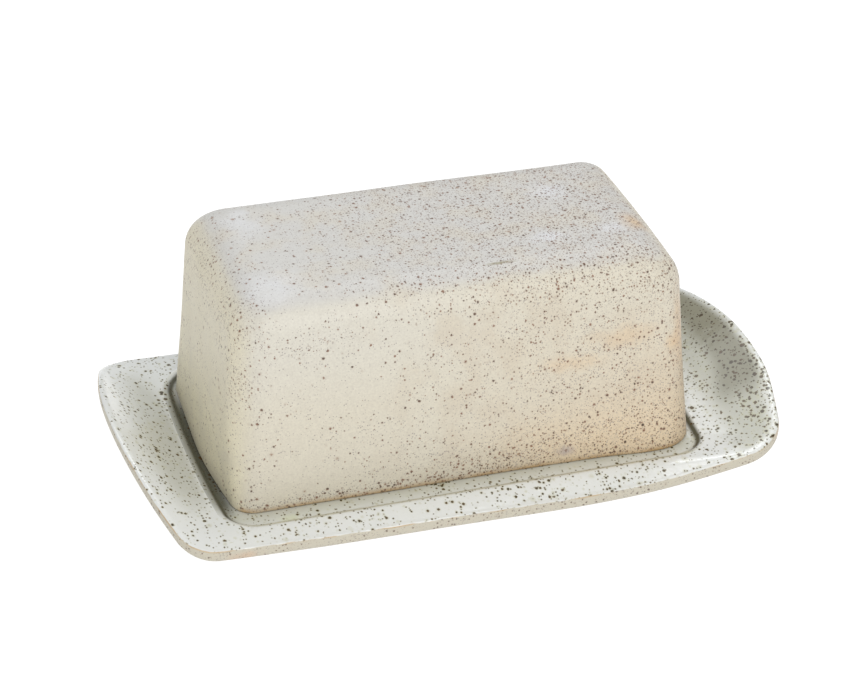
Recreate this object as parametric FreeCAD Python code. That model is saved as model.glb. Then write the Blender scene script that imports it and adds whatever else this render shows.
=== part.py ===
import FreeCAD, Part
import os

from FreeCAD import Vector

# Covered butter dish in stoneware: a box-shaped cover that stands in the sunk well of a
# tray whose two short ends curl up.  Millimetres, +X along the length, +Y to the back,
# +Z up.  The origin is under the middle of the tray, on the surface the dish stands on.

# Cover
COVER_LENGTH = 159.8          # outside, at its open bottom edge
COVER_WIDTH = 89.7
COVER_HEIGHT = 70.4
COVER_END_LEAN = 6.0          # how far the two ends lean in by the top
COVER_SIDE_LEAN = 4.8         # and the two long sides
COVER_CORNER = 9.5            # radius of the upright corners
COVER_SHOULDER = 14.0         # radius where the walls turn into the top
COVER_WALL = 5.0
COVER_ROOF = 5.5
COVER_INNER_CORNER = 6.0
COVER_INNER_SHOULDER = 9.0
COVER_LIP = 0.9               # rounding of the edge it stands on
COVER_PLACE = (-2.2, 2.05)    # it stands a little off centre, towards the back of the well
COVER_TURN = -0.7             # and very slightly askew, in degrees

# Tray, seen from above: four shallow arcs joined by round corners
TRAY_LENGTH = 222.0
TRAY_WIDTH = 124.2
TRAY_END_BOW = 10.5           # how far the end edges swell past their corners
TRAY_SIDE_BOW = 2.2
TRAY_CORNER = 12.0
LEFT_END_SKEW = 2.0           # the hand-cut left end runs a little out of square
SLAB = 4.5                    # thickness of the clay, measured straight down
RIM_TOP_ROUND = 0.9
RIM_UNDER_ROUND = 1.8

# Heights of the tray's upper surface above the table
WELL_FLOOR = 6.0
FLANGE = 8.2                  # level all round the well
SIDE_DROOP = 2.0              # fall of the rim below that at its long edges
DROOP_START = 0.75            # where the fall starts, as a share of the half width
LEFT_RISE = 13.2              # rise of the rim at the middle of the short ends
RIGHT_RISE = 11.0
LEFT_CORNER_SHARE = 0.0       # part of each rise that is left at the two corners
RIGHT_CORNER_SHARE = 0.5
RISE_START = 48.0             # distance from the middle where the rim starts to climb
CURL = 1.35                   # above 1 the flange curls up, at 1 it would slope straight
CORNER_BLEND = 4              # how sharply the slopes of an end and a side meet at a corner
RIM_SQUARENESS = 6            # how closely the line towards the rim keeps to its corners
GRID_MARGIN = 4.0             # the surface is drawn this far past the rim
GRID_COLUMNS, GRID_ROWS = 47, 27

# Well and foot
WELL_LENGTH = 162.6           # at the floor
WELL_WIDTH = 97.6
WELL_CORNER = 11.0
WELL_PLACE = (-2.9, 0.2)
WELL_STEP = 2.9               # how far the soft step leans out on its way up
WELL_SHOULDER = 3.6           # rounding at the top of the step
WELL_COVE = 3.0               # rounding at its bottom
WELL_REACH = 4.0              # height of the space cut for the well
FOOT_MARGIN = 2.0             # how far the foot reaches past the well floor
FOOT_RUN = 0.8                # how far the foot's side leans out per unit of height
FOOT_ROUND = 0.8
FOOT_RING = 9.0               # width of the ring that touches the table
FOOT_RECESS = 1.2
FOOT_REACH = 18.0             # a height above the underside of the whole flange

# Working limits
BLOCK_HEIGHT = 60.0           # taller than anything on the tray
END_ZONE = 12.0               # an edge this near an end, or
SIDE_ZONE = 5.0               # this near a long side, belongs to the rim
EDGE_TOLERANCE = 0.15         # how far an edge may lie from the surface it belongs to


def edges_at_height(shape, z, tolerance=0.01):
    """The edges of a shape that lie wholly at one height."""
    return [e for e in shape.Edges
            if abs(e.BoundBox.ZMin - z) < tolerance and abs(e.BoundBox.ZMax - z) < tolerance]


def rectangle(length, width, z):
    """The wire of a plain rectangle, flat at height z around the Z axis."""
    x, y = length / 2, width / 2
    corners = [Vector(-x, -y, z), Vector(x, -y, z), Vector(x, y, z), Vector(-x, y, z)]
    return Part.makePolygon(corners + corners[:1])


def rounded_rectangle(length, width, radius, z):
    """The wire of a rectangle with round corners, flat at height z around the Z axis."""
    plate = Part.makeBox(length, width, 1.0, Vector(-length / 2, -width / 2, z))
    upright = [e for e in plate.Edges if e.BoundBox.ZLength > 0.5]
    plate = plate.makeFillet(radius, upright)
    return min(plate.Faces, key=lambda face: face.CenterOfMass.z).OuterWire


def tapered_block(bottom, top):
    """A solid between two rounded rectangles, each given as (length, width, radius, z)."""
    return Part.makeLoft([rounded_rectangle(*bottom), rounded_rectangle(*top)], True, True)


def cover_block(margin, height, corner, shoulder):
    """The cover's tapered outline, pulled in by a margin and cut off at a height, with its
    top edges and then its upright corners rounded."""
    length = COVER_LENGTH - 2 * margin
    width = COVER_WIDTH - 2 * margin
    share = height / COVER_HEIGHT
    top_length = length - 2 * COVER_END_LEAN * share
    top_width = width - 2 * COVER_SIDE_LEAN * share
    outlines = [rectangle(length, width, 0.0), rectangle(top_length, top_width, height)]
    block = Part.makeLoft(outlines, True, True)
    block = block.makeFillet(shoulder, edges_at_height(block, height))
    upright = [e for e in block.Edges if e.BoundBox.ZLength > height / 2]
    return block.makeFillet(corner, upright)


def make_cover():
    """The hollow cover, open at the bottom, at its place in the well."""
    outside = cover_block(0.0, COVER_HEIGHT, COVER_CORNER, COVER_SHOULDER)
    hollow = cover_block(COVER_WALL, COVER_HEIGHT - COVER_ROOF, COVER_INNER_CORNER, COVER_INNER_SHOULDER)
    cover = outside.cut(hollow)
    cover = cover.makeFillet(COVER_LIP, edges_at_height(cover, 0.0))
    cover.rotate(Vector(0, 0, 0), Vector(0, 0, 1), COVER_TURN)
    cover.translate(Vector(COVER_PLACE[0], COVER_PLACE[1], WELL_FLOOR))
    return cover


def rim_height(x, y):
    """Height of the tray's rim: low along the sides, swept up at the ends."""
    rise, share = (RIGHT_RISE, RIGHT_CORNER_SHARE) if x > 0 else (LEFT_RISE, LEFT_CORNER_SHARE)
    along = max(0.0, (abs(x) - RISE_START) / (TRAY_LENGTH / 2 - RISE_START))
    across = abs(y) / (TRAY_WIDTH / 2)
    arch = 1.0 - (1.0 - share) * across ** 2
    edge = max(0.0, (across - DROOP_START) / (1.0 - DROOP_START))
    droop = SIDE_DROOP * edge ** 2 / (1.0 + along ** 2)
    return FLANGE + rise * along ** 2 * arch - droop


def way_to_rim(value, middle, half, rim):
    """How far a coordinate lies on its way from the edge of the well (0) to the rim (1)."""
    edge = abs(middle + half) if value > middle else abs(middle - half)
    return max(0.0, (abs(value) - edge) / (rim - edge))


def flange_height(x, y):
    """Height of the tray's upper surface outside the well: level at the well, then curling
    to the height of the nearest part of the rim."""
    end = TRAY_LENGTH / 2 - TRAY_END_BOW * (2 * y / TRAY_WIDTH) ** 2
    side = TRAY_WIDTH / 2 - TRAY_SIDE_BOW * (2 * x / TRAY_LENGTH) ** 2
    to_end = way_to_rim(x, WELL_PLACE[0], WELL_LENGTH / 2 + WELL_STEP, end)
    to_side = way_to_rim(y, WELL_PLACE[1], WELL_WIDTH / 2 + WELL_STEP, side)
    way = (to_end ** CORNER_BLEND + to_side ** CORNER_BLEND) ** (1 / CORNER_BLEND)
    if way == 0.0:
        return FLANGE
    reach = (abs(x) / end) ** RIM_SQUARENESS + (abs(y) / side) ** RIM_SQUARENESS
    scale = reach ** (-1 / RIM_SQUARENESS)
    return FLANGE + (rim_height(x * scale, y * scale) - FLANGE) * way ** CURL


def flange_face():
    """The tray's upper surface without the well, a little larger than the tray."""
    half_length = TRAY_LENGTH / 2 + GRID_MARGIN
    half_width = TRAY_WIDTH / 2 + GRID_MARGIN
    grid = []
    for i in range(GRID_COLUMNS):
        x = half_length * (2 * i / (GRID_COLUMNS - 1) - 1)
        line = []
        for j in range(GRID_ROWS):
            y = half_width * (2 * j / (GRID_ROWS - 1) - 1)
            line.append(Vector(x, y, flange_height(x, y)))
        grid.append(line)
    surface = Part.BSplineSurface()
    surface.interpolate(grid)
    return surface.toShape()


def tray_outline():
    """An upright block with the tray's outline."""
    x, y = TRAY_LENGTH / 2 - TRAY_END_BOW, TRAY_WIDTH / 2 - TRAY_SIDE_BOW
    corners = [Vector(LEFT_END_SKEW - x, -y, 0), Vector(x, -y, 0),
               Vector(x, y, 0), Vector(-LEFT_END_SKEW - x, y, 0)]
    middles = [Vector(0, -TRAY_WIDTH / 2, 0), Vector(TRAY_LENGTH / 2, 0, 0),
               Vector(0, TRAY_WIDTH / 2, 0), Vector(-TRAY_LENGTH / 2, 0, 0)]
    arcs = []
    for i in range(4):
        arcs.append(Part.Arc(corners[i], middles[i], corners[(i + 1) % 4]).toShape())
    block = Part.Face(Part.Wire(arcs)).extrude(Vector(0, 0, BLOCK_HEIGHT))
    upright = [e for e in block.Edges if e.BoundBox.ZLength > BLOCK_HEIGHT / 2]
    return block.makeFillet(TRAY_CORNER, upright)


def edges_on_flange(shape, depth, near_rim):
    """The edges that lie a given depth under the upper surface, at the rim or inside it."""
    found = []
    for edge in shape.Edges:
        middle = edge.valueAt((edge.FirstParameter + edge.LastParameter) / 2)
        at_rim = abs(middle.x) > TRAY_LENGTH / 2 - END_ZONE or abs(middle.y) > TRAY_WIDTH / 2 - SIDE_ZONE
        height = flange_height(middle.x, middle.y) - depth
        if at_rim == near_rim and abs(middle.z - height) < EDGE_TOLERANCE and edge.Length > 1:
            found.append(edge)
    return found


def foot_block(flange):
    """The raised middle that the tray stands on, with its recess, up to the flange."""
    length = WELL_LENGTH + 2 * FOOT_MARGIN
    width = WELL_WIDTH + 2 * FOOT_MARGIN
    radius = WELL_CORNER + FOOT_MARGIN
    spread = FOOT_REACH * FOOT_RUN
    foot = tapered_block((length, width, radius, 0.0),
                         (length + 2 * spread, width + 2 * spread, radius + spread, FOOT_REACH))
    inner = (length - 2 * FOOT_RING, width - 2 * FOOT_RING, radius - FOOT_RING)
    foot = foot.cut(tapered_block(inner + (-1.0,), inner + (FOOT_RECESS,)))
    foot.translate(Vector(WELL_PLACE[0], WELL_PLACE[1], 0))
    return foot.common(flange.extrude(Vector(0, 0, -BLOCK_HEIGHT)))


def well_block():
    """The space of the well: a shallow pan with sloping sides."""
    spread = WELL_STEP * WELL_REACH / (FLANGE - WELL_FLOOR)
    top = (WELL_LENGTH + 2 * spread, WELL_WIDTH + 2 * spread, WELL_CORNER + spread, WELL_FLOOR + WELL_REACH)
    pan = tapered_block((WELL_LENGTH, WELL_WIDTH, WELL_CORNER, WELL_FLOOR), top)
    pan = pan.makeFillet(WELL_COVE, edges_at_height(pan, WELL_FLOOR))
    pan.translate(Vector(WELL_PLACE[0], WELL_PLACE[1], 0))
    return pan


def make_tray():
    """The tray: curved slab, foot and well in one piece of clay."""
    flange = flange_face()
    outline = tray_outline()
    tray = flange.extrude(Vector(0, 0, -SLAB)).common(outline)
    tray = tray.makeFillet(RIM_TOP_ROUND, edges_on_flange(tray, 0.0, True))
    tray = tray.makeFillet(RIM_UNDER_ROUND, edges_on_flange(tray, SLAB, True))
    tray = tray.fuse(foot_block(flange)).cut(well_block())
    tray = tray.makeFillet(WELL_SHOULDER, edges_on_flange(tray, 0.0, False))
    return tray.makeFillet(FOOT_ROUND, edges_at_height(tray, 0.0))


def main():
    os.makedirs("parts", exist_ok=True)
    parts = {"tray": make_tray(), "cover": make_cover()}
    for name, shape in parts.items():
        solid = shape.Solids[0]
        solid.exportStep("parts/%s.step" % name)
        box = solid.optimalBoundingBox(True, False)
        print("%-6s solids %d valid %s volume %.1f cm3 size %.1f x %.1f x %.1f" % (
            name, len(shape.Solids), solid.isValid(), solid.Volume / 1000,
            box.XLength, box.YLength, box.ZLength))
    overlap = parts["tray"].common(parts["cover"])
    print("overlap of cover and tray %.4f mm3" % overlap.Volume)


main()
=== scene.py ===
import math

import bmesh
import bpy
import numpy as np
from mathutils import Matrix, Vector, noise


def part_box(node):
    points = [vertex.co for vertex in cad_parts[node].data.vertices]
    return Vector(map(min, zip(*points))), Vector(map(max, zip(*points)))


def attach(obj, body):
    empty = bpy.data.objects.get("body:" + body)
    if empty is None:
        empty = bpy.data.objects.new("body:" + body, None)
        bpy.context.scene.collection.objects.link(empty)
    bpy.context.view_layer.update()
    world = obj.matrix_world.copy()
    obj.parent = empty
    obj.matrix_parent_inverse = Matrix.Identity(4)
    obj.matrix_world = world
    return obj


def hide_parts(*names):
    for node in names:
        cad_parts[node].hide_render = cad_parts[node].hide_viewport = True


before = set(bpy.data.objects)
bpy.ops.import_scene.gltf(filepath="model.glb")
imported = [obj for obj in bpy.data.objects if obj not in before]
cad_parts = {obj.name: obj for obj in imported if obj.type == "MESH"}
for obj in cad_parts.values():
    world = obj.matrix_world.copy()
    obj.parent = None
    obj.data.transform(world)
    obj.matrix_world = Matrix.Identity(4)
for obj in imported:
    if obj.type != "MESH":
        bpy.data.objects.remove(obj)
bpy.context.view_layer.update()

# A covered butter dish in speckled stoneware: a box-shaped cover standing in the well of a tray.
# Sizes are in millimetres in the CAD frame, and a mesh is turned into metres when it is made.
# The front is -Y and the left end -X.
MM = 0.001
TRAY_LOW, TRAY_HIGH = (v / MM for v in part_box("tray"))
COVER_LOW, COVER_HIGH = (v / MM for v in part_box("cover"))

# Cover: half sizes of its foot from its own middle, and how far each wall leans in by the top
COVER_MIDDLE = (-2.36, 2.52)
COVER_TURN = -0.7                       # degrees
COVER_LEFT, COVER_RIGHT = 79.75, 80.3
COVER_FRONT, COVER_BACK = 45.35, 44.35
COVER_HEIGHT = COVER_HIGH.z - COVER_LOW.z
END_LEAN, FRONT_LEAN, BACK_LEAN = 6.0, 5.1, 4.4
COVER_END_BOW, COVER_SIDE_BOW = 0.75, 0.15
COVER_SHOULDER = 14.0
COVER_WALL = 5.0
COVER_ROOF = 5.5
INNER_SHOULDER = 8.0
LIP = 1.0                               # rounding of the edge it stands on
CROWN_REACH = 0.97                      # how far in the crown's rings go before it is closed

# Its upright corners: how far their rounding reaches at the foot and at the top
FOOT_CORNER, TOP_CORNER = 11.0, 9.0
TIGHT_CORNER = 6.5                      # the back right one at the top
PINCHED_CORNER, SOFT_CORNER = 6.0, 12.5     # the front left one at its foot and above it
SOFT_HEIGHT, SOFT_CURVE = 26.0, 0.7     # where it is fully soft, and how soon it gets there
CORNER_INSET = 0.4                      # what a corner loses for each millimetre of inset
LEAST_CORNER = 1.5
PINCH, PINCH_HEIGHT = 3.2, 50.0         # the front left corner's foot is drawn in, up to a height
PINCH_SPREAD = 2.3

# Hand-made unevenness of the cover, as (depth, wavelength, seed) or (depth, middle, reach)
WALL_WAVES = ((0.28, 34, 1), (0.07, 11, 2))
WAVE_FADE = 8                           # the waves die out over this height below the crown
LEFT_SWELL, LEFT_SWELL_HEIGHT = (0.8, -4, 26), 30
FRONT_SWELLS, FRONT_SWELL_HEIGHT = ((1.2, 63, 10), (-0.8, 12, 34)), 9
CROWN_WAVE, CROWN_START, CROWN_FADE = (0.15, 30, 3), 9, 8

# Tray
TRAY_HALF = (min(-TRAY_LOW.x, TRAY_HIGH.x), min(-TRAY_LOW.y, TRAY_HIGH.y))
END_BOW, SIDE_BOW = 10.5, 2.2
TRAY_CORNERS = (9.0, 12.0, 12.0, 12.0)
LEFT_END_SKEW = 2.0
RIGHT_BULGE = (0.9, -25, 13)            # (depth, middle, reach) along Y
CLEARANCE = 0.01                        # keeps the right end inside the CAD's box
SLAB = 4.5
RIM_ROUND, UNDER_ROUND = 0.9, 1.9
RIM_FACE = (1.4, 1.9, 2.4)              # depths of the rings down the rim's upright face
RIM_INSET, UNDER_INSET = 1.5, 0.6       # where the flange ends above, and past the rounding below
FLANGE = 8.1
CURL = 1.35                             # above 1 the flange curls up towards the rim
SIDE_DROOP, DROOP_START = 1.9, 0.75
LEFT_RISE, RIGHT_RISE = 13.2, 11.0
LEFT_SHARE, RIGHT_SHARE = 0.0, 0.5      # part of each rise that is left at the corners
RISE_START = 48.0
FRONT_SAGS = ((1.35, 36, 34), (1.0, -101, 24))      # (depth, middle, reach) along X
RIGHT_LIFTS = ((1.2, -2, 26), (-1.3, 50, 14))       # (height, middle, reach) along Y

# Well and foot: the edges of the well's floor, and distances outwards from them
WELL_FLOOR = COVER_LOW.z
WELL_LEFT, WELL_RIGHT, WELL_FRONT, WELL_BACK = -83.3, 78.2, -48.6, 49.0
WELL_END_BOW, WELL_SIDE_BOW = 2.2, 0.2
WELL_CORNERS = (8, 8, 12, 14)
WELL_COVE, WELL_RUN, WELL_SHOULDER = 1.0, 2.9, 1.2
WELL_TOP = 8.2
FOOT_OUT, FOOT_SLOPE = 2.0, 2.2
FOOT_ROUND, FOOT_ROUND_HEIGHT = 0.8, 0.9
FOOT_RING = ((-6.0, 0.0), (-7.0, 0.3), (-7.8, 1.0))     # (outwards, height) at its inner edge
FOOT_RECESS = 1.2

# The tray's attribute `glaze_edge` says where on its skin a point is: the white glaze is below
# zero, its edge runs round the rim at zero, and the matt outside and the underside are above it.
ON_FLOOR, ON_COVE, ON_STEP = -40, -30, -25
FLANGE_END, FLANGE_SPAN = -1.6, 12
RIM_START, RIM_SPAN = -1.2, 1.4
UNDER_RIM, UNDER_RIM_SPAN = 2.5, 1.9
UNDERSIDE, UNDERSIDE_SPAN = 8, 10
ON_FOOT, ON_FOOT_ROUND, ON_RING, ON_RECESS = 20, 22, 24, 25

# Points round every outline: four corners and four sides
CORNER_POINTS = 22
LONG_POINTS = 84
SHORT_POINTS = 48

# Shifts that give every seed its own noise, in the shapes and in the materials
SHAPE_SHIFT = (17.3, -9.1, 5.7)
PATTERN_SHIFT = (37.1, 11.9, 23.3)

# A speck's core and halo fade in between these distances from its middle, in radii; its outline
# wanders by noise that is this much finer than the largest radius, and up to this far in radii
CORE_EDGE = (1.12, 0.82)
HALO_EDGE = (2.2, 0.7)
WANDER_FINENESS, WANDER_REACH = 1.3, 4


# ---------------------------------------------------------------- outlines and lofts

def outline(corners, bows, cuts, power=2.0):
    """Points round four corners joined by bowed sides, with the corners rounded off.

    corners run anticlockwise from front left, bows are how far each side swells outwards, cuts
    are how far each corner's rounding reaches, and a higher power keeps a side's middle flatter.
    """
    corners = np.array(corners, float)
    counts = (LONG_POINTS, SHORT_POINTS, LONG_POINTS, SHORT_POINTS)
    sides = []
    for k in range(4):
        along = corners[(k + 1) % 4] - corners[k]
        length = np.linalg.norm(along)
        across = np.array([along[1], -along[0]]) / length
        last_cut = 1 - cuts[(k + 1) % 4] / length
        sides.append((corners[k], along, across, bows[k], cuts[k] / length, last_cut))

    def point(k, t):
        start, along, across, bow = sides[k][:4]
        return start + np.outer(t, along) + np.outer(bow * (1 - np.abs(2 * t - 1) ** power), across)

    def heading(k, t):
        _, along, across, bow = sides[k][:4]
        way = along - across * bow * power * abs(2 * t - 1) ** (power - 1) * math.copysign(2, t - 0.5)
        return way / np.linalg.norm(way)

    points = []
    t = np.linspace(0, 1, CORNER_POINTS, endpoint=False)[:, None]
    for k in range(4):
        first, last = sides[k - 1][5], sides[k][4]
        a, b = point(k - 1, np.array([first]))[0], point(k, np.array([last]))[0]
        a_way, b_way = heading(k - 1, first), heading(k, last)
        turn = math.acos(float(np.clip(a_way @ b_way, -1, 1)))
        reach = np.linalg.norm(b - a) / (2 * math.sin(turn / 2)) * 4 / 3 * math.tan(turn / 4)
        p, q = a + a_way * reach, b - b_way * reach
        points.append((1 - t) ** 3 * a + 3 * (1 - t) ** 2 * t * p + 3 * (1 - t) * t ** 2 * q + t ** 3 * b)
        points.append(point(k, np.linspace(last, sides[k][5], counts[k], endpoint=False)))
    return np.concatenate(points)


def box_outline(left, right, front, back, end_bow, side_bow, cuts, power=2.5):
    """An outline whose ends and sides reach the four given lines at their middles."""
    corners = [(left + end_bow, front + side_bow), (right - end_bow, front + side_bow),
               (right - end_bow, back - side_bow), (left + end_bow, back - side_bow)]
    return outline(corners, [side_bow, end_bow, side_bow, end_bow], cuts, power)


def outward(points):
    """Unit normals in the plane of a closed anticlockwise outline."""
    way = np.roll(points, -1, 0) - np.roll(points, 1, 0)
    way /= np.linalg.norm(way, axis=1)[:, None]
    return np.stack([way[:, 1], -way[:, 0]], 1)


def ring(points, z):
    """An outline lifted to a height, or to one height for each point."""
    return np.column_stack([points, np.broadcast_to(z, len(points))])


def folded(points, half_length, centre):
    """An outline pressed flat onto the line along its middle, which ends a loft."""
    x = np.clip(points[:, 0] - centre[0], -half_length, half_length) + centre[0]
    return np.column_stack([x, np.full(len(x), centre[1])])


def lofted(name, rings, values, shape=None):
    """A mesh through rings of points, with one value in `values` for each vertex."""
    count = len(rings[0])
    verts = np.concatenate(rings)
    if shape:
        verts = shape(verts)
    faces = []
    for r in range(len(rings) - 1):
        for i in range(count):
            j = (i + 1) % count
            faces.append((r * count + i, r * count + j, (r + 1) * count + j, (r + 1) * count + i))
    mesh = bpy.data.meshes.new(name)
    mesh.from_pydata((verts * MM).tolist(), [], faces)
    for key, value in values.items():
        layer = mesh.attributes.new(key, "FLOAT", "POINT")
        layer.data.foreach_set("value", np.asarray(value, np.float32).ravel())
    close_up(mesh)
    piece = bpy.data.objects.new(name, mesh)
    bpy.context.scene.collection.objects.link(piece)
    return piece


def close_up(mesh):
    """Joins points that coincide on the folded rings, turns the faces outwards and smooths them."""
    work = bmesh.new()
    work.from_mesh(mesh)
    bmesh.ops.remove_doubles(work, verts=work.verts, dist=0.02 * MM)
    bmesh.ops.dissolve_degenerate(work, edges=work.edges, dist=0.01 * MM)
    bmesh.ops.recalc_face_normals(work, faces=work.faces)
    for face in work.faces:
        face.smooth = True
    work.to_mesh(mesh)
    work.free()


def unevenness(verts, size, seed):
    """Smooth noise from -1 to 1 at each point; size is its wavelength in millimetres."""
    shift = Vector([seed * v for v in SHAPE_SHIFT])
    return np.array([noise.noise(Vector(v) / size + shift) for v in verts])


def hump(value, middle, reach):
    """A smooth bump: 1 at its middle, and nearly 0 at twice its reach."""
    return np.exp(-((value - middle) / reach) ** 2)


def humps(value, rows):
    """Bumps added up, each given as (height, middle, reach)."""
    return sum(height * hump(value, middle, reach) for height, middle, reach in rows)


# ---------------------------------------------------------------- cover

def cover_ring(z, inset):
    """The cover at a height above its foot, pulled in by an inset from its outer wall."""
    rise = min(z, COVER_HEIGHT - COVER_SHOULDER) / COVER_HEIGHT
    corner = FOOT_CORNER + (TOP_CORNER - FOOT_CORNER) * rise
    tight = FOOT_CORNER + (TIGHT_CORNER - FOOT_CORNER) * rise
    ends = inset + END_LEAN * rise
    softness = min(1.0, z / SOFT_HEIGHT) ** SOFT_CURVE
    near_left = PINCHED_CORNER + (SOFT_CORNER - PINCHED_CORNER) * softness
    cuts = [max(c - CORNER_INSET * inset, LEAST_CORNER) for c in (near_left, corner, tight, corner)]
    points = box_outline(-COVER_LEFT + ends, COVER_RIGHT - ends,
                         -COVER_FRONT + inset + FRONT_LEAN * rise, COVER_BACK - inset - BACK_LEAN * rise,
                         COVER_END_BOW, COVER_SIDE_BOW, cuts)
    near = np.clip(-points[:, 1] / COVER_FRONT, 0, None) ** PINCH_SPREAD
    near *= np.clip(-points[:, 0] / COVER_LEFT, 0, 1)
    points[:, 0] += PINCH * near * max(0.0, 1 - z / PINCH_HEIGHT)
    return ring(points, z)


def shell(wall, roof, shoulder):
    """Rings up one side of the shell, over its shoulder and in to the middle of its crown."""
    top = COVER_HEIGHT - roof
    rings = []
    for z in np.linspace(LIP, top - shoulder, 24)[:-1]:
        rings.append(cover_ring(z, wall))
    for t in np.linspace(0, math.pi / 2, 16):
        z = top - shoulder + shoulder * math.sin(t)
        rings.append(cover_ring(z, wall + shoulder * (1 - math.cos(t))))
    crown = COVER_FRONT - FRONT_LEAN - wall - shoulder
    for t in np.linspace(0, 1, 12)[1:-1]:
        rings.append(cover_ring(top, wall + shoulder + crown * CROWN_REACH * t))
    half_length = COVER_LEFT - END_LEAN - wall - shoulder - crown * CROWN_REACH
    rings.append(ring(folded(rings[-1][:, :2], half_length, (0.0, 0.0)), top))
    return rings


def uneven_cover(verts):
    """Hand-made unevenness: waves in the walls and the crown, and swellings at the foot."""
    out = verts.copy()
    x, y, z = verts.T
    walls = np.clip((COVER_HEIGHT - z) / WAVE_FADE, 0, 1)
    push = sum(depth * unevenness(verts, size, seed) for depth, size, seed in WALL_WAVES)
    side = np.hypot(x / COVER_LEFT, y / COVER_FRONT)
    out[:, 0] += push * walls * x / COVER_LEFT / side.clip(0.3)
    out[:, 1] += push * walls * y / COVER_FRONT / side.clip(0.3)
    left = np.exp(-z / LEFT_SWELL_HEIGHT) * np.clip(-x / COVER_LEFT, 0, 1) ** 8
    out[:, 0] -= left * humps(y, [LEFT_SWELL])
    front = np.exp(-z / FRONT_SWELL_HEIGHT) * np.clip(-y / COVER_FRONT, 0, 1) ** 4
    out[:, 1] -= front * humps(x, FRONT_SWELLS)
    depth, size, seed = CROWN_WAVE
    crown = np.clip((z - COVER_HEIGHT + CROWN_START) / CROWN_FADE, 0, 1)
    out[:, 2] -= crown * (depth - depth * unevenness(verts, size, seed))
    return out


def shape_cover(verts):
    """The uneven cover, turned and set down in the well."""
    out = uneven_cover(verts)
    turn = math.radians(COVER_TURN)
    placed = out.copy()
    placed[:, 0] = out[:, 0] * math.cos(turn) - out[:, 1] * math.sin(turn) + COVER_MIDDLE[0]
    placed[:, 1] = out[:, 0] * math.sin(turn) + out[:, 1] * math.cos(turn) + COVER_MIDDLE[1]
    placed[:, 2] += WELL_FLOOR
    return placed


def make_cover():
    """The cover as one closed skin: crown, shoulder, wall, lip, and the same again inside."""
    outside = shell(0.0, 0.0, COVER_SHOULDER)
    inside = shell(COVER_WALL, COVER_ROOF, INNER_SHOULDER)
    lip = []
    for t in np.linspace(0, math.pi / 2, 6)[1:]:
        lip.append(cover_ring(LIP * (1 - math.sin(t)), LIP * (1 - math.cos(t))))
    for t in np.linspace(math.pi / 2, 0, 6)[:-1]:
        lip.append(cover_ring(LIP * (1 - math.sin(t)), COVER_WALL - LIP * (1 - math.cos(t))))
    rings = outside[::-1] + lip + inside
    inner = [0.0] * len(outside) + list(np.linspace(0, 1, len(lip))) + [1.0] * len(inside)
    values = np.repeat(inner, len(rings[0]))
    return lofted("stoneware_cover", rings, {"inner": values}, shape_cover)


# ---------------------------------------------------------------- tray

def rim_height(x, y):
    """Height of the tray's upper surface along its rim: low at the sides, swept up at the ends."""
    rise = np.where(x > 0, RIGHT_RISE, LEFT_RISE)
    share = np.where(x > 0, RIGHT_SHARE, LEFT_SHARE)
    along = np.clip((np.abs(x) - RISE_START) / (TRAY_HALF[0] - RISE_START), 0, None)
    across = np.abs(y) / TRAY_HALF[1]
    arch = 1 - (1 - share) * across ** 2
    edge = np.clip((across - DROOP_START) / (1 - DROOP_START), 0, None)
    droop = SIDE_DROOP * edge ** 2 / (1 + along ** 2)
    sag = np.clip(-y / TRAY_HALF[1], 0, None) ** 4 * humps(x, FRONT_SAGS)
    lift = humps(y, RIGHT_LIFTS) * np.clip(x / TRAY_HALF[0], 0, None) ** 6
    return FLANGE + rise * along ** 2 * arch - droop - sag + lift


def tray_outline():
    """The rim seen from above, with its skewed left end and the slight bulge in its right end."""
    x, y = TRAY_HALF[0] - END_BOW, TRAY_HALF[1] - SIDE_BOW
    corners = [(LEFT_END_SKEW - x, -y), (x, -y), (x, y), (-LEFT_END_SKEW - x, y)]
    points = outline(corners, [SIDE_BOW, END_BOW] * 2, TRAY_CORNERS)
    right = np.clip(points[:, 0] / TRAY_HALF[0], 0, None) ** 8
    points[:, 0] += humps(points[:, 1], [RIGHT_BULGE]) * right
    points[:, 0] = np.minimum(points[:, 0], TRAY_HALF[0] - CLEARANCE)
    return points


def well_outline(out):
    """The edge of the well's floor, moved outwards."""
    floor = box_outline(WELL_LEFT, WELL_RIGHT, WELL_FRONT, WELL_BACK,
                        WELL_END_BOW, WELL_SIDE_BOW, WELL_CORNERS)
    return floor + outward(floor) * out


def inside_well(share):
    """The well's floor outline, shrunk towards the line along its middle: 0 is that line.

    The corners differ, so the two sides of the line don't meet point for point, which leaves a
    slit without width in the flat floor.
    """
    floor = well_outline(0.0)
    centre = ((WELL_LEFT + WELL_RIGHT) / 2, (WELL_FRONT + WELL_BACK) / 2)
    half_length = (WELL_RIGHT - WELL_LEFT - WELL_BACK + WELL_FRONT) / 2
    ridge = folded(floor, half_length, centre)
    return ridge + (floor - ridge) * share


class Skin:
    """The rings of the tray's skin, with the two values that its material reads."""

    def __init__(self):
        self.rings, self.edges, self.steps = [], [], []

    def add(self, points, z, edge, step=0.0):
        """One more ring: its `glaze_edge`, and how far it is on the well's step."""
        self.rings.append(ring(points, z))
        self.edges.append(np.full(len(points), float(edge)))
        self.steps.append(np.full(len(points), float(step)))

    def mesh(self, name):
        values = {"glaze_edge": np.concatenate(self.edges), "step": np.concatenate(self.steps)}
        return lofted(name, self.rings, values)


def make_tray():
    """The tray as one skin: well floor, step, flange, rim, underside and foot."""
    skin = Skin()
    rim = tray_outline()
    normal = outward(rim)
    edge = rim - normal * RIM_INSET
    edge_z = rim_height(edge[:, 0], edge[:, 1])
    add_well(skin)
    add_flange(skin, edge, edge_z)
    add_rim(skin, rim, normal, edge_z)
    add_underside(skin, rim, normal, edge_z)
    add_foot(skin)
    return skin.mesh("stoneware_tray")


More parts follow.
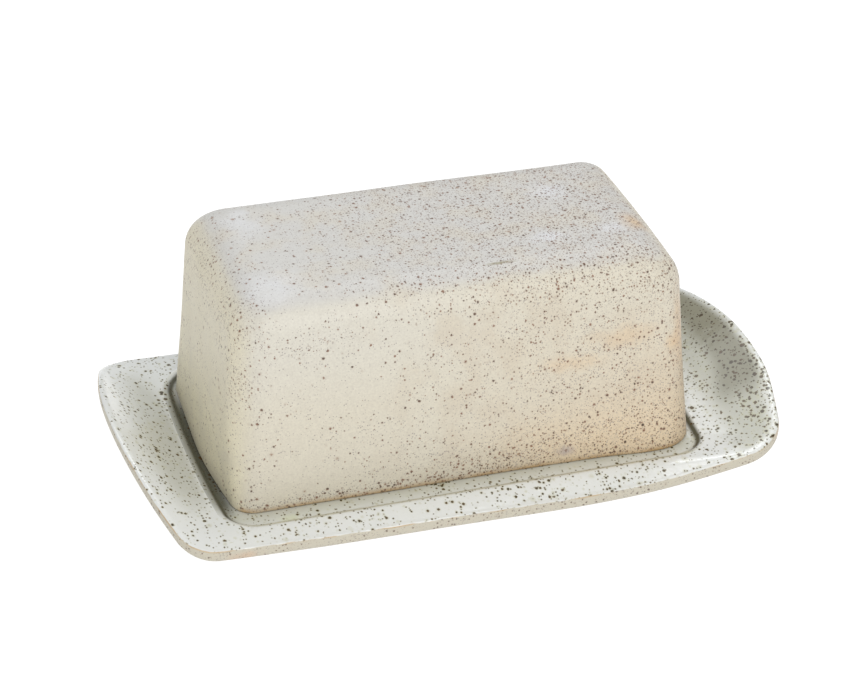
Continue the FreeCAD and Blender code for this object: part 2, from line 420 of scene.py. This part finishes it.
def add_well(skin):
    """The well's floor, the cove at its edge and the soft step up to the flange."""
    for share in (0.0, 0.2, 0.4, 0.6, 0.8, 0.9, 0.95):
        skin.add(inside_well(share), WELL_FLOOR, ON_FLOOR)
    inner, floor = well_outline(-WELL_COVE), well_outline(0.0)
    shoulder, beyond = well_outline(WELL_RUN), well_outline(WELL_RUN + WELL_SHOULDER)
    middle = (floor + shoulder) / 2
    middle_z = (WELL_FLOOR + WELL_TOP) / 2
    for t in np.linspace(0, 1, 7):
        p = (1 - t) ** 2 * inner + 2 * t * (1 - t) * floor + t ** 2 * middle
        skin.add(p, (1 - t ** 2) * WELL_FLOOR + t ** 2 * middle_z, ON_COVE, t)
    for t in np.linspace(0, 1, 8)[1:]:
        p = (1 - t) ** 2 * middle + 2 * t * (1 - t) * shoulder + t ** 2 * beyond
        z = (1 - t) ** 2 * middle_z + (2 * t * (1 - t) + t ** 2) * WELL_TOP
        skin.add(p, z, ON_STEP, 1 - t)


def add_flange(skin, edge, edge_z):
    """The flange, from the top of the step out to the rim."""
    start = well_outline(WELL_RUN + WELL_SHOULDER)
    for t in np.linspace(0, 1, 18)[1:]:
        z = WELL_TOP + (edge_z - WELL_TOP) * t ** CURL
        skin.add(start + (edge - start) * t, z, FLANGE_END - FLANGE_SPAN * (1 - t))


def add_rim(skin, rim, normal, edge_z):
    """The rim: its top rounding, its upright face and its rounding underneath."""
    for t in np.linspace(0, math.pi / 2, 7)[1:]:
        skin.add(rim - normal * RIM_ROUND * (1 - math.sin(t)), edge_z - RIM_ROUND * (1 - math.cos(t)),
                 RIM_START + RIM_SPAN * t)
    for depth in RIM_FACE:
        skin.add(rim, edge_z - depth, depth)
    for t in np.linspace(0, math.pi / 2, 7)[1:]:
        skin.add(rim - normal * UNDER_ROUND * (1 - math.cos(t)),
                 edge_z - SLAB + UNDER_ROUND * (1 - math.sin(t)), UNDER_RIM + UNDER_RIM_SPAN * t)


def add_underside(skin, rim, normal, edge_z):
    """The underside of the flange, in to the top of the foot."""
    start = rim - normal * (UNDER_ROUND + UNDER_INSET)
    high = well_outline(FOOT_OUT + FOOT_SLOPE)
    under = WELL_TOP - SLAB
    for t in np.linspace(0, 1, 9):
        z = under + (edge_z - SLAB - under) * (1 - t) ** CURL
        skin.add(start + (high - start) * t, z, UNDERSIDE + UNDERSIDE_SPAN * t)


def add_foot(skin):
    """The sloping sides of the foot, the ring that it stands on and the recess inside it."""
    low = well_outline(FOOT_OUT)
    high = well_outline(FOOT_OUT + FOOT_SLOPE)
    top = WELL_TOP - SLAB
    for t in (0.5, 1.0):
        skin.add(high + (low - high) * t, top * (1 - t) + FOOT_ROUND_HEIGHT * t, ON_FOOT)
    for t in np.linspace(0, math.pi / 2, 5)[1:]:
        skin.add(well_outline(FOOT_OUT - FOOT_ROUND * (1 - math.cos(t))),
                 FOOT_ROUND_HEIGHT * (1 - math.sin(t)), ON_FOOT_ROUND)
    for out, z in FOOT_RING:
        skin.add(well_outline(out), z, ON_RING)
    for share in (0.78, 0.5, 0.0):
        skin.add(inside_well(share), FOOT_RECESS, ON_RECESS)


# ---------------------------------------------------------------- materials

class Glaze:
    """A material with short calls for its nodes; `place` is the point in millimetres."""

    def __init__(self, name):
        self.material = bpy.data.materials.new(name)
        self.material.use_nodes = True
        self.tree = self.material.node_tree
        self.shader = self.tree.nodes["Principled BSDF"]
        coordinates = self.tree.nodes.new("ShaderNodeTexCoord")
        scale = self.node("ShaderNodeVectorMath", operation="SCALE")
        self.link(coordinates.outputs["Object"], scale.inputs[0])
        scale.inputs["Scale"].default_value = 1 / MM
        self.place = scale.outputs[0]
        parts = self.node("ShaderNodeSeparateXYZ")
        self.link(self.place, parts.inputs[0])
        self.x, self.y, self.z = parts.outputs

    def node(self, kind, **settings):
        """A new node with its settings made."""
        made = self.tree.nodes.new(kind)
        for key, value in settings.items():
            setattr(made, key, value)
        return made

    def link(self, value, socket):
        """Joins another node's output to a socket, or sets a plain number or colour on it."""
        if isinstance(value, bpy.types.NodeSocket):
            self.tree.links.new(value, socket)
        elif isinstance(value, (tuple, list)) and len(value) == 3 and socket.type == "RGBA":
            socket.default_value = (*value, 1)
        else:
            socket.default_value = value

    def math(self, operation, a, b=0.0):
        made = self.node("ShaderNodeMath", operation=operation)
        self.link(a, made.inputs[0])
        self.link(b, made.inputs[1])
        return made.outputs[0]

    def add(self, a, b):
        return self.math("ADD", a, b)

    def times(self, *values):
        """All the values multiplied together."""
        result = values[0]
        for value in values[1:]:
            result = self.math("MULTIPLY", result, value)
        return result

    def step(self, value, start, end):
        """0 at start, 1 at end, smooth between them; end may be below start."""
        made = self.node("ShaderNodeMapRange", interpolation_type="SMOOTHSTEP")
        self.link(value, made.inputs[0])
        self.link(start, made.inputs[1])
        self.link(end, made.inputs[2])
        return made.outputs[0]

    def mix(self, factor, a, b, blend="MIX"):
        """Colour a where the factor is 0, and b where it is 1."""
        made = self.node("ShaderNodeMix", data_type="RGBA", blend_type=blend)
        self.link(factor, made.inputs[0])
        self.link(a, made.inputs[6])
        self.link(b, made.inputs[7])
        return made.outputs[2]

    def moved(self, seed, stretch=(1, 1, 1)):
        """The place, shifted so that every seed gives its own pattern."""
        made = self.node("ShaderNodeMapping")
        self.link(self.place, made.inputs[0])
        made.inputs["Location"].default_value = [seed * v for v in PATTERN_SHIFT]
        made.inputs["Scale"].default_value = stretch
        return made.outputs[0]

    def noise(self, size, seed, detail=2.0):
        """Smooth noise about 0.5; size is its wavelength in millimetres."""
        made = self.node("ShaderNodeTexNoise")
        self.link(self.moved(seed), made.inputs["Vector"])
        made.inputs["Scale"].default_value = 1 / size
        made.inputs["Detail"].default_value = detail
        return made.outputs["Fac"]

    def facing(self, axis):
        """How far the surface faces along an axis: 1 when it faces straight along it."""
        parts = self.node("ShaderNodeSeparateXYZ")
        self.link(self.node("ShaderNodeNewGeometry").outputs["Normal"], parts.inputs[0])
        return parts.outputs["XYZ".index(axis)]

    def attribute(self, name):
        """A value stored on the mesh."""
        return self.node("ShaderNodeAttribute", attribute_name=name).outputs["Fac"]

    def patch(self, middle, reach, ragged=0.0, seed=1):
        """A soft round patch: 1 at its middle, 0 at its reach along each axis."""
        shift = self.node("ShaderNodeVectorMath", operation="SUBTRACT")
        self.link(self.place, shift.inputs[0])
        shift.inputs[1].default_value = middle
        shrink = self.node("ShaderNodeVectorMath", operation="DIVIDE")
        self.link(shift.outputs[0], shrink.inputs[0])
        shrink.inputs[1].default_value = reach
        length = self.node("ShaderNodeVectorMath", operation="LENGTH")
        self.link(shrink.outputs[0], length.inputs[0])
        distance = length.outputs["Value"]
        if ragged:
            wander = self.times(self.add(self.noise(min(reach), seed, 3), -0.5), ragged)
            distance = self.add(distance, wander)
        return self.step(distance, 1.0, 0.0)

    def patches(self, rows):
        """Patches together, each given as (middle, reach, ragged, seed)."""
        together = self.patch(*rows[0])
        for row in rows[1:]:
            together = self.math("MAXIMUM", together, self.patch(*row))
        return together

    def spots(self, pitch, radii, share, seed, stretch=(1, 1, 1), ragged=0.3):
        """Scattered specks: their dark cores and the soft halos round them.

        pitch is the size of the cells that hold one speck each, and share the part of them that
        has one.  radii are the smallest and the largest, and the small ones are the most common.
        ragged is how uneven their outlines are.
        """
        wander = self.node("ShaderNodeTexNoise")
        self.link(self.moved(seed + 0.5), wander.inputs["Vector"])
        wander.inputs["Scale"].default_value = WANDER_FINENESS / radii[1]
        wander.inputs["Detail"].default_value = 1.0
        centred = self.node("ShaderNodeVectorMath", operation="SUBTRACT")
        self.link(wander.outputs["Color"], centred.inputs[0])
        centred.inputs[1].default_value = (0.5, 0.5, 0.5)
        small = self.node("ShaderNodeVectorMath", operation="SCALE")
        self.link(centred.outputs[0], small.inputs[0])
        small.inputs["Scale"].default_value = ragged * radii[1] * WANDER_REACH
        warped = self.node("ShaderNodeVectorMath", operation="ADD")
        self.link(self.moved(seed, stretch), warped.inputs[0])
        self.link(small.outputs[0], warped.inputs[1])
        cells = self.node("ShaderNodeTexVoronoi")
        self.link(warped.outputs[0], cells.inputs["Vector"])
        cells.inputs["Scale"].default_value = 1 / pitch
        chance = self.node("ShaderNodeSeparateColor")
        self.link(cells.outputs["Color"], chance.inputs[0])
        distance = self.times(cells.outputs["Distance"], pitch)
        grown = self.times(self.math("POWER", chance.outputs[1], 2.0), radii[1] - radii[0])
        size = self.add(grown, radii[0])
        here = self.math("LESS_THAN", chance.outputs[0], share)

        def disc(edge):
            start, end = self.times(size, edge[0]), self.times(size, edge[1])
            return self.times(self.step(distance, start, end), here)

        return disc(CORE_EDGE), disc(HALO_EDGE)

    def sprinkle(self, colour, specks, halo_colour, halo, core_colour, core, blend="MIX"):
        """A colour with specks laid over it; halo and core are how strongly they show."""
        colour = self.mix(self.times(specks[1], halo), colour, halo_colour, blend)
        return self.mix(self.times(specks[0], core), colour, core_colour)

    def finish(self, colour, roughness, height, depth):
        """Connects the shader; depth is the height of the bumps in millimetres."""
        self.link(colour, self.shader.inputs["Base Color"])
        self.link(roughness, self.shader.inputs["Roughness"])
        bump = self.node("ShaderNodeBump")
        bump.inputs["Strength"].default_value = 1.0
        bump.inputs["Distance"].default_value = depth * MM
        self.link(height, bump.inputs["Height"])
        self.link(bump.outputs[0], self.shader.inputs["Normal"])
        return self.material


# Colours shared by the two glazes
VIOLET = (0.23, 0.19, 0.185)
RUST = (0.25, 0.13, 0.07)
DARK = (0.070, 0.042, 0.028)
ORANGE = (0.47, 0.30, 0.12)
CLAY = (0.66, 0.58, 0.43)
WHITE_GLAZE = (0.695, 0.705, 0.70)
GREEN_GLAZE = (0.44, 0.42, 0.23)
DARK_OLIVE = (0.045, 0.027, 0.006)

# Colours of the cover's glaze
CREAM = (0.650, 0.606, 0.498)
PALE_CREAM = (0.645, 0.618, 0.540)
BEIGE = (0.60, 0.535, 0.425)
TAN = (0.665, 0.538, 0.372)
# Painted light: a lighter tone for the walls low down on the right
LIT_HONEY = (0.80, 0.64, 0.435)
# Painted sheen: the cool grey of the crown, with the glaze's own warmer tone mottled in
COOL_SHEEN_GREY, WARM_TOP = (0.592, 0.580, 0.552), (0.602, 0.570, 0.505)
# Painted shade tint of the left end: olive for the shade it stands in, and a lighter moss low down against
# the shade from the tray
SHADE_TINT_OLIVE, SHADE_TINT_MOSS = (0.70, 0.645, 0.485), (0.80, 0.74, 0.525)
# Frosty patches: the glaze's own matt crystals, lightened with painted sheen
FROST_AND_SHEEN = (0.72, 0.73, 0.76)
TOAST = (0.66, 0.46, 0.26)
MAUVE = (0.36, 0.31, 0.35)
SCRATCH = (0.26, 0.23, 0.12)
MOTTLE = (0.42, 0.38, 0.31)
BROWN = (0.215, 0.105, 0.062)

# Marks in the cover's glaze, as (middle, reach, ragged, seed)
# The first five are frosty patches on the crown, partly matt crystals and partly painted sheen
FROSTED_AND_SHEEN = (((-61, -20, 74), (15, 13, 8), 0.8, 41), ((-61, 22, 75), (8, 16, 8), 1.3, -61),
           ((43, 15, 76), (9, 7, 4), 1.3, 43), ((33, -15, 76), (9, 6, 4), 1.3, 33),
           ((55, -16, 75), (8, 6, 4), 1.3, 55))
TOASTED_STREAK = (((32, -40, 43), (15, 9, 4.5), 1.1, 5), ((51, -40, 50), (17, 9, 6), 1.1, 51))
TOASTED_CORNER = (((71, -39, 50), (5.5, 9, 24), 0.9, 6),)
TOASTED_PATCH = (((68, -40, 45), (5.5, 8, 5), 0.9, 44),)
TOASTED_TOP = (((63, -12, 75), (7, 9, 7), 0.9, 7),)
MAUVE_BLOTCH = ((31, -42, 11), (4.5, 8, 2.6), 0.9, 45)
TOP_SCRATCH = ((12, -27, 75.5), (8.0, 1.2, 3), 0.5, 46)
SINGED_FOOT = ((-76, -43, 0), (22, 9, 8))
DENSE_CLUSTER = ((-79, -34, 52), (12, 12, 17), 0.9, 42)
SCATTERED_SPECKS = ((-60, -42, 62), (28, 12, 13), 0.8, 49)


def cover_ground(g, above, crown, left_end, drift):
    """The glaze before its marks: cream in front and tan to the right, with painted shade and light: an
    olive shade tint on the left end, a cool grey painted sheen on top and lighter walls low on the right.
    """
    pale = g.times(g.step(above, 25.0, 62.0), g.step(g.x, 30.0, -50.0))
    colour = g.mix(pale, CREAM, PALE_CREAM)
    cloudy = g.times(g.step(g.noise(15, 43, 4), 0.46, 0.66), g.step(g.x, -50.0, -10.0))
    colour = g.mix(g.times(cloudy, 0.65), colour, BEIGE)
    uneven_x = g.add(g.x, g.times(g.add(g.noise(24, 3, 3), -0.5), 70))
    warm = g.times(g.step(uneven_x, -25.0, 85.0), g.step(above, 66.0, 2.0))
    colour = g.mix(g.times(warm, 0.85), colour, TAN)
    # painted shade tint on the end that faces left: olive, with lighter moss low down against the tray's
    # shade
    moss = g.times(g.step(above, 44.0, 12.0), g.step(drift, 0.30, 0.62))
    colour = g.mix(g.times(left_end, 0.92), colour, g.mix(g.times(moss, 0.75), SHADE_TINT_OLIVE, SHADE_TINT_MOSS))
    # painted sheen: the crown turns cool grey for the light it reflects, mottled with warmer glaze
    level = g.mix(g.step(drift, 0.42, 0.68), COOL_SHEEN_GREY, WARM_TOP)
    colour = g.mix(g.times(crown, 0.95), colour, level)
    # frosty patches on the crown: matt crystals in the glaze, partly painted sheen
    colour = g.mix(g.times(g.patches(FROSTED_AND_SHEEN), crown, 0.6), colour, FROST_AND_SHEEN)
    # painted light: the walls low on the right are lightened against the shade near the foot
    low = g.times(g.step(above, 26.0, 4.0), g.step(g.x, -10.0, 45.0))
    return g.mix(g.times(low, 0.55), colour, LIT_HONEY)


def cover_marks(g, colour, above, drift):
    """Toasted marks, a blotch, a scratch, the orange line along the foot, and a fine mottle."""
    for rows, strength in ((TOASTED_STREAK, 0.38), (TOASTED_CORNER, 0.55), (TOASTED_PATCH, 0.55),
                           (TOASTED_TOP, 0.75)):
        colour = g.mix(g.times(g.patches(rows), strength), colour, TOAST)
    colour = g.mix(g.times(g.patch(*MAUVE_BLOTCH), 0.55), colour, MAUVE)
    colour = g.mix(g.times(g.patch(*TOP_SCRATCH), 0.95), colour, SCRATCH)
    foot = g.step(above, g.add(g.times(g.patch(*SINGED_FOOT), 2.2), 2.6), 0.5)
    foot = g.times(foot, g.add(g.times(g.step(drift, 0.35, 0.6), 0.40), 0.50))
    colour = g.mix(g.times(foot, g.step(g.facing("X"), -0.95, -0.6)), colour, ORANGE)
    colour = g.mix(g.times(g.add(g.noise(3.2, 4, 4), -0.5), 0.45), colour, MOTTLE)
    return g.mix(g.times(g.add(g.noise(0.6, 17, 2), -0.35), 0.45), colour, VIOLET)


def cover_density(g, above, crown, left_end, drift):
    """How thickly the specks lie: more to the right, in a band along the foot, and in clusters."""
    right = g.step(g.x, -55.0, 66.0)
    up = g.facing("Z")
    upper = g.times(g.step(above, 26.0, 50.0), g.step(above, 66.0, 56.0), right)
    band_height = g.add(g.times(g.step(g.x, -50.0, 30.0), 9.0), 4.5)
    band = g.step(above, g.times(band_height, 1.3), g.times(band_height, 0.3))
    band = g.times(band, g.step(g.x, -79.0, -58.0))
    skirt = g.times(g.step(above, 5.0, 2.2), g.step(g.x, -81.0, -72.0), g.step(g.x, 20.0, -25.0))
    shoulder = g.times(g.step(up, 0.05, 0.35), g.step(up, 0.95, 0.75), g.step(g.x, -45.0, 10.0))
    brow = g.times(g.step(above, 52.0, 62.0), g.step(g.x, -60.0, -74.0))
    right_crown = g.times(crown, g.step(g.x, -65.0, 0.0))
    cluster, scattered = g.patch(*DENSE_CLUSTER), g.patch(*SCATTERED_SPECKS)
    masks = ((right, 0.70), (upper, -0.15), (band, 0.85), (skirt, 1.2), (crown, 0.12), (shoulder, 0.2),
             (cluster, 0.75), (scattered, 0.45), (brow, 0.4), (right_crown, 0.46), (left_end, 0.10))
    dense = g.add(g.times(g.add(drift, -0.5), 1.1), 0.06)
    for mask, share in masks:
        dense = g.add(dense, g.times(mask, share))
    return dense


def cover_glaze():
    """Satin cream glaze with brown specks outside, and glossy white glaze inside."""
    g = Glaze("cover_glaze")
    above = g.add(g.z, -WELL_FLOOR)
    crown = g.step(g.facing("Z"), 0.72, 0.95)
    left_end = g.times(g.step(g.facing("X"), -0.42, -0.97), g.step(g.x, -50.0, -70.0))
    drift = g.noise(12, 8, 3)
    colour = cover_ground(g, above, crown, left_end, drift)
    colour = cover_marks(g, colour, above, drift)

    dense = cover_density(g, above, crown, left_end, drift)
    dust = g.spots(0.62, (0.13, 0.24), g.add(g.times(dense, 0.95), 0.16), 11)
    fine = g.spots(0.90, (0.17, 0.32), g.add(g.times(dense, 0.70), -0.01), 12)
    bold = g.spots(1.55, (0.28, 0.48), g.add(g.times(dense, 0.42), 0.03), 13)
    blots = g.spots(5.5, (0.38, 0.62), g.add(g.times(dense, 0.15), 0.16), 14, ragged=0.2)
    speck = g.mix(g.step(g.noise(1.7, 50, 1), 0.35, 0.65), DARK, BROWN)
    colour = g.mix(g.times(dust[0], 0.72), colour, VIOLET)
    colour = g.sprinkle(colour, fine, RUST, 0.22, speck, 0.86)
    colour = g.sprinkle(colour, blots, RUST, 0.22, RUST, 0.6)
    colour = g.sprinkle(colour, bold, RUST, 0.25, speck, 0.92)

    inner = g.attribute("inner")
    inside = g.step(inner, 0.55, 0.95)
    lip = g.times(g.step(inner, 0.28, 0.5), g.step(inner, 0.95, 0.7))
    glazed = g.sprinkle(WHITE_GLAZE, bold, GREEN_GLAZE, 0.3, DARK_OLIVE, 0.85)
    colour = g.mix(inside, colour, glazed)
    colour = g.mix(g.times(lip, 0.8), colour, CLAY)

    satin = g.add(g.times(g.noise(9, 9, 3), 0.22), 0.36)
    roughness = g.math("SUBTRACT", satin, g.times(inside, 0.3))
    height = g.add(g.times(g.noise(1.1, 15, 3), 0.6), g.times(g.noise(5.5, 16, 2), 1.2))
    height = g.math("SUBTRACT", height, g.times(bold[0], 0.35))
    return g.finish(colour, roughness, height, 0.07)


# Colours of the tray's glaze
WARM_WHITE = (0.70, 0.70, 0.63)
# Painted shade for the right flange, and for the band where its slope turns up
FLANGE_SHADE_GREEN = (0.30, 0.295, 0.215)
FLANGE_SHADE_OLIVE = (0.225, 0.215, 0.150)
DEEP_SHADE = (0.46, 0.46, 0.36)
SLOPE_SHADE = (0.47, 0.47, 0.41)
# Painted shade: the dark shade and reflection on the well's steps
STEP_SHADE_DARK = (0.085, 0.08, 0.05)
# Painted shade for the floor between the left step and the cover
GAP_SHADE_DARK = (0.07, 0.07, 0.045)
SEAM_OLIVE = (0.46, 0.42, 0.20)
STAIN_GREEN = (0.62, 0.66, 0.30)
IRON_BROWN = (0.080, 0.044, 0.012)
MATT_CREAM, MATT_GREY = (0.54, 0.50, 0.40), (0.53, 0.50, 0.42)
BURNT_CLAY = (0.60, 0.42, 0.29)

# Marks on the tray, as (middle, reach, ragged, seed), and the stretch of its specks
WELL_STAIN = ((-64, -47, WELL_FLOOR), (5, 3, 3), 0.8, 23)
BURNT_RIM = (((-82, -61, 4), (8, 5, 3), 0.9, 28), ((99, -50, 13), (9, 9, 8), 0.9, 29))
LONG = (1.0, 0.88, 1.0)


def flange_painted_shade(g, colour, edge):
    """Painted shade on the right flange, with an olive grey band of deeper painted shade where its slope
    turns up.
    """
    band_x = g.add(g.times(g.step(g.y, -4.0, -30.0), -5.5), 105.2)
    off_band = g.math("ABSOLUTE", g.math("SUBTRACT", g.x, band_x))
    # painted shade band on the slope of the right flange
    band = g.times(g.step(off_band, 11.0, 4.5), g.step(g.y, -36.0, -21.0), g.step(edge, -1.2, -2.8))
    strength = g.add(g.times(g.step(g.y, -32.0, 2.0), 0.04), 0.66)
    # painted shade over the right flange
    flange_shade = g.times(g.step(g.x, 82.0, 93.0), strength, g.step(edge, -1.2, -4.0))
    colour = g.mix(flange_shade, colour, FLANGE_SHADE_GREEN)
    return g.mix(g.times(band, 0.92), colour, FLANGE_SHADE_OLIVE)


def well_tones(g, colour, edge):
    """Painted shade in the well: on its floor in front, on the slopes that face right, and dark on its
    steps and on the floor beside the cover's left end.
    """
    step = g.attribute("step")
    deep = g.times(g.step(edge, -27.0, -31.0), g.step(g.y, -30.0, -42.0))
    contact = g.add(g.times(g.step(g.y, -48.0, -43.5), 0.35), 0.28)
    colour = g.mix(g.times(deep, contact), colour, DEEP_SHADE)
    shade = g.times(g.step(g.facing("X"), 0.04, 0.30), g.step(edge, -3.0, -9.0), g.step(g.y, -50.0, -25.0))
    colour = g.mix(g.times(shade, 0.70), colour, SLOPE_SHADE)
    steep = g.step(g.math("ABSOLUTE", g.facing("X")), 0.12, 0.45)
    # painted shade on the well's steps, darkest where they face the ends, less near the front left corner
    step_shade = g.times(g.step(step, 0.45, 0.95), g.add(g.times(steep, 0.9), 0.12))
    near_corner = g.times(g.step(g.y, -40.0, -50.0), g.step(g.x, -60.0, -78.0), 0.75)
    step_shade = g.times(step_shade, g.math("SUBTRACT", 1.0, near_corner))
    colour = g.mix(step_shade, colour, STEP_SHADE_DARK)
    seam = g.times(g.step(step, 0.1, 0.6), g.step(steep, 0.4, 0.0))
    colour = g.mix(g.times(seam, 0.45), colour, SEAM_OLIVE)
    # painted shade on the floor between the well's left step and the cover's left end
    gap_shade = g.times(g.step(edge, -23.0, -27.0), g.step(g.x, -77.5, -82.0), g.step(g.y, -47.5, -33.0))
    gap_shade = g.times(gap_shade, g.step(g.y, 46.0, 20.0))
    colour = g.mix(g.times(gap_shade, 0.92), colour, GAP_SHADE_DARK)
    return g.mix(g.times(g.patch(*WELL_STAIN), 0.4), colour, STAIN_GREEN)


def tray_specks(g, colour, edge):
    """Iron specks in the white glaze, densest on the right rim; also gives the bold ones' cores."""
    brink = g.times(g.step(edge, -8.5, -4.5), g.step(g.x, 92.0, 101.0), g.step(g.y, 14.0, -12.0))
    ends = g.add(g.times(g.step(g.x, 60.0, 90.0), 0.36), g.times(brink, 0.25))
    drift = g.add(g.noise(15, 24, 2), -0.5)
    dense = g.add(g.add(ends, 0.54), g.times(drift, 1.2))
    iron = g.mix(g.step(g.noise(2.5, 52, 1), 0.40, 0.65), DARK_OLIVE, IRON_BROWN)
    fine = g.spots(1.1, (0.22, 0.38), g.times(dense, 0.80), 25, LONG)
    bold = g.spots(1.75, (0.32, 0.58), g.times(dense, 0.78), 26, LONG, 0.15)
    blots = g.spots(3.6, (0.5, 0.9), g.times(dense, 0.46), 27, LONG, 0.15)
    rim_spots = g.spots(2.0, (0.55, 0.90), g.times(brink, 0.85), 48, LONG, 0.2)
    colour = g.sprinkle(colour, fine, GREEN_GLAZE, 0.3, iron, 0.92, "DARKEN")
    for specks in (bold, blots, rim_spots):
        colour = g.sprinkle(colour, specks, GREEN_GLAZE, 0.45, iron, 0.95, "DARKEN")
    return colour, bold[0]


def tray_outside(g, cloud):
    """The matt cream outside with its fine flecks, burnt at two places on the rim."""
    matt = g.mix(g.times(cloud, 0.6), MATT_CREAM, MATT_GREY)
    matt = g.mix(g.times(g.patches(BURNT_RIM), 0.6), matt, BURNT_CLAY)
    dust = g.spots(0.65, (0.13, 0.24), 0.9, 31)
    flecks = g.spots(1.2, (0.20, 0.38), 0.6, 32)
    matt = g.mix(g.times(dust[0], 0.6), matt, VIOLET)
    return g.sprinkle(matt, flecks, RUST, 0.25, DARK, 0.8)


def tray_glaze():
    """Glossy white glaze with iron specks on top, matt cream outside, and bare clay underneath."""
    g = Glaze("tray_glaze")
    edge = g.attribute("glaze_edge")
    line = g.add(edge, g.times(g.add(g.noise(5, 21, 2), -0.5), 0.9))
    cloud = g.noise(22, 22, 3)
    colour = g.mix(g.times(cloud, 0.5), WHITE_GLAZE, WARM_WHITE)
    colour = flange_painted_shade(g, colour, edge)
    colour = well_tones(g, colour, edge)
    colour, bold = tray_specks(g, colour, edge)

    outside = g.step(line, -0.25, 0.25)
    colour = g.mix(outside, colour, tray_outside(g, cloud))
    thin = g.times(g.step(line, -0.35, 0.05), g.step(line, 0.75, 0.25))
    broken = g.step(g.noise(11, 47, 3), 0.44, 0.60)
    colour = g.mix(g.times(thin, broken, 0.6), colour, ORANGE)
    bare = g.step(line, 20.5, 21.5)
    colour = g.mix(bare, colour, CLAY)

    roughness = g.add(g.times(outside, 0.36), g.add(g.times(cloud, 0.08), 0.10))
    roughness = g.add(roughness, g.times(bare, 0.3))
    height = g.add(g.times(g.noise(7, 33, 2), 2.0), g.times(g.noise(0.9, 34, 2), outside, 0.8))
    height = g.math("SUBTRACT", height, g.times(bold, 0.3))
    return g.finish(colour, roughness, height, 0.06)


# ---------------------------------------------------------------- stage, light and camera

FLOOR_HALF = 6.0                        # metres
FLOOR_GREY, FLOOR_GLOW = 0.12, 0.97
SKY, SKY_STRENGTH = (0.97, 0.985, 1.0), 0.54

CAMERA_LENS, CAMERA_SENSOR = 112.0, 36.0
CAMERA_AZIMUTH, CAMERA_ELEVATION, CAMERA_ROLL = -17.85, 30.89, 0.60     # degrees
CAMERA_DISTANCE = 890.8
CAMERA_TARGET = (-2.6, 0.0, 31.75)


def make_floor():
    """A plain floor that glows nearly white, with soft shadows."""
    size = FLOOR_HALF
    mesh = bpy.data.meshes.new("floor")
    corners = [(-size, -size, 0), (size, -size, 0), (size, size, 0), (-size, size, 0)]
    mesh.from_pydata(corners, [], [(0, 1, 2, 3)])
    floor = bpy.data.objects.new("floor", mesh)
    bpy.context.scene.collection.objects.link(floor)
    material = bpy.data.materials.new("studio_floor")
    material.use_nodes = True
    shader = material.node_tree.nodes["Principled BSDF"]
    shader.inputs["Base Color"].default_value = (FLOOR_GREY, FLOOR_GREY, FLOOR_GREY, 1)
    shader.inputs["Roughness"].default_value = 0.7
    shader.inputs["Emission Color"].default_value = (1, 1, 1, 1)
    shader.inputs["Emission Strength"].default_value = FLOOR_GLOW
    mesh.materials.append(material)


def softbox(name, place, size, power, colour=(1, 1, 1), target=(0, 0, 0.03)):
    """A rectangular light aimed at the dish; place, size and target are in metres."""
    light = bpy.data.lights.new(name, "AREA")
    light.shape = "RECTANGLE"
    light.size, light.size_y = size
    light.energy = power
    light.color = colour
    lamp = bpy.data.objects.new(name, light)
    lamp.location = place
    lamp.rotation_euler = (Vector(place) - Vector(target)).to_track_quat("Z", "Y").to_euler()
    bpy.context.scene.collection.objects.link(lamp)


def make_light():
    """Soft light from all round, a warm key light in front and a cool one behind.

    The two small lights show as reflections on the cover's shoulders and the tray's glaze.
    """
    world = bpy.data.worlds.new("studio")
    bpy.context.scene.world = world
    world.use_nodes = True
    background = world.node_tree.nodes["Background"]
    background.inputs["Color"].default_value = (*SKY, 1)
    background.inputs["Strength"].default_value = SKY_STRENGTH
    softbox("key", (-0.08, -0.89, 0.98), (0.9, 0.6), 9.0, (1.0, 0.985, 0.955))
    softbox("back", (0.25, 0.85, 1.0), (1.3, 0.5), 4, (0.93, 0.97, 1.0))
    softbox("glint", (0.34, 0.73, 1.00), (0.35, 0.15), 0.7, (0.90, 0.95, 1.0))
    softbox("overhead", (0.30, -0.03, 1.10), (0.9, 0.05), 0.7)


def make_camera():
    """A long lens from the front left and above, rolled very slightly."""
    data = bpy.data.cameras.new("camera")
    data.lens = CAMERA_LENS
    data.sensor_width = CAMERA_SENSOR
    data.clip_start = 0.01
    camera = bpy.data.objects.new("camera", data)
    a, e = math.radians(CAMERA_AZIMUTH), math.radians(CAMERA_ELEVATION)
    back = Vector((math.sin(a) * math.cos(e), -math.cos(a) * math.cos(e), math.sin(e)))
    place = (Vector(CAMERA_TARGET) + back * CAMERA_DISTANCE) * MM
    look = back.to_track_quat("Z", "Y").to_matrix().to_4x4()
    roll = Matrix.Rotation(math.radians(CAMERA_ROLL), 4, "Z")
    camera.matrix_world = Matrix.Translation(place) @ look @ roll
    bpy.context.scene.collection.objects.link(camera)
    bpy.context.scene.camera = camera


# ---------------------------------------------------------------- the scene

tray = make_tray()
tray.data.materials.append(tray_glaze())
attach(tray, "tray")
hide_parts("tray")

cover = make_cover()
cover.data.materials.append(cover_glaze())
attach(cover, "cover")
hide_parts("cover")

make_floor()
make_light()
make_camera()
bpy.context.scene.view_settings.view_transform = "Standard"
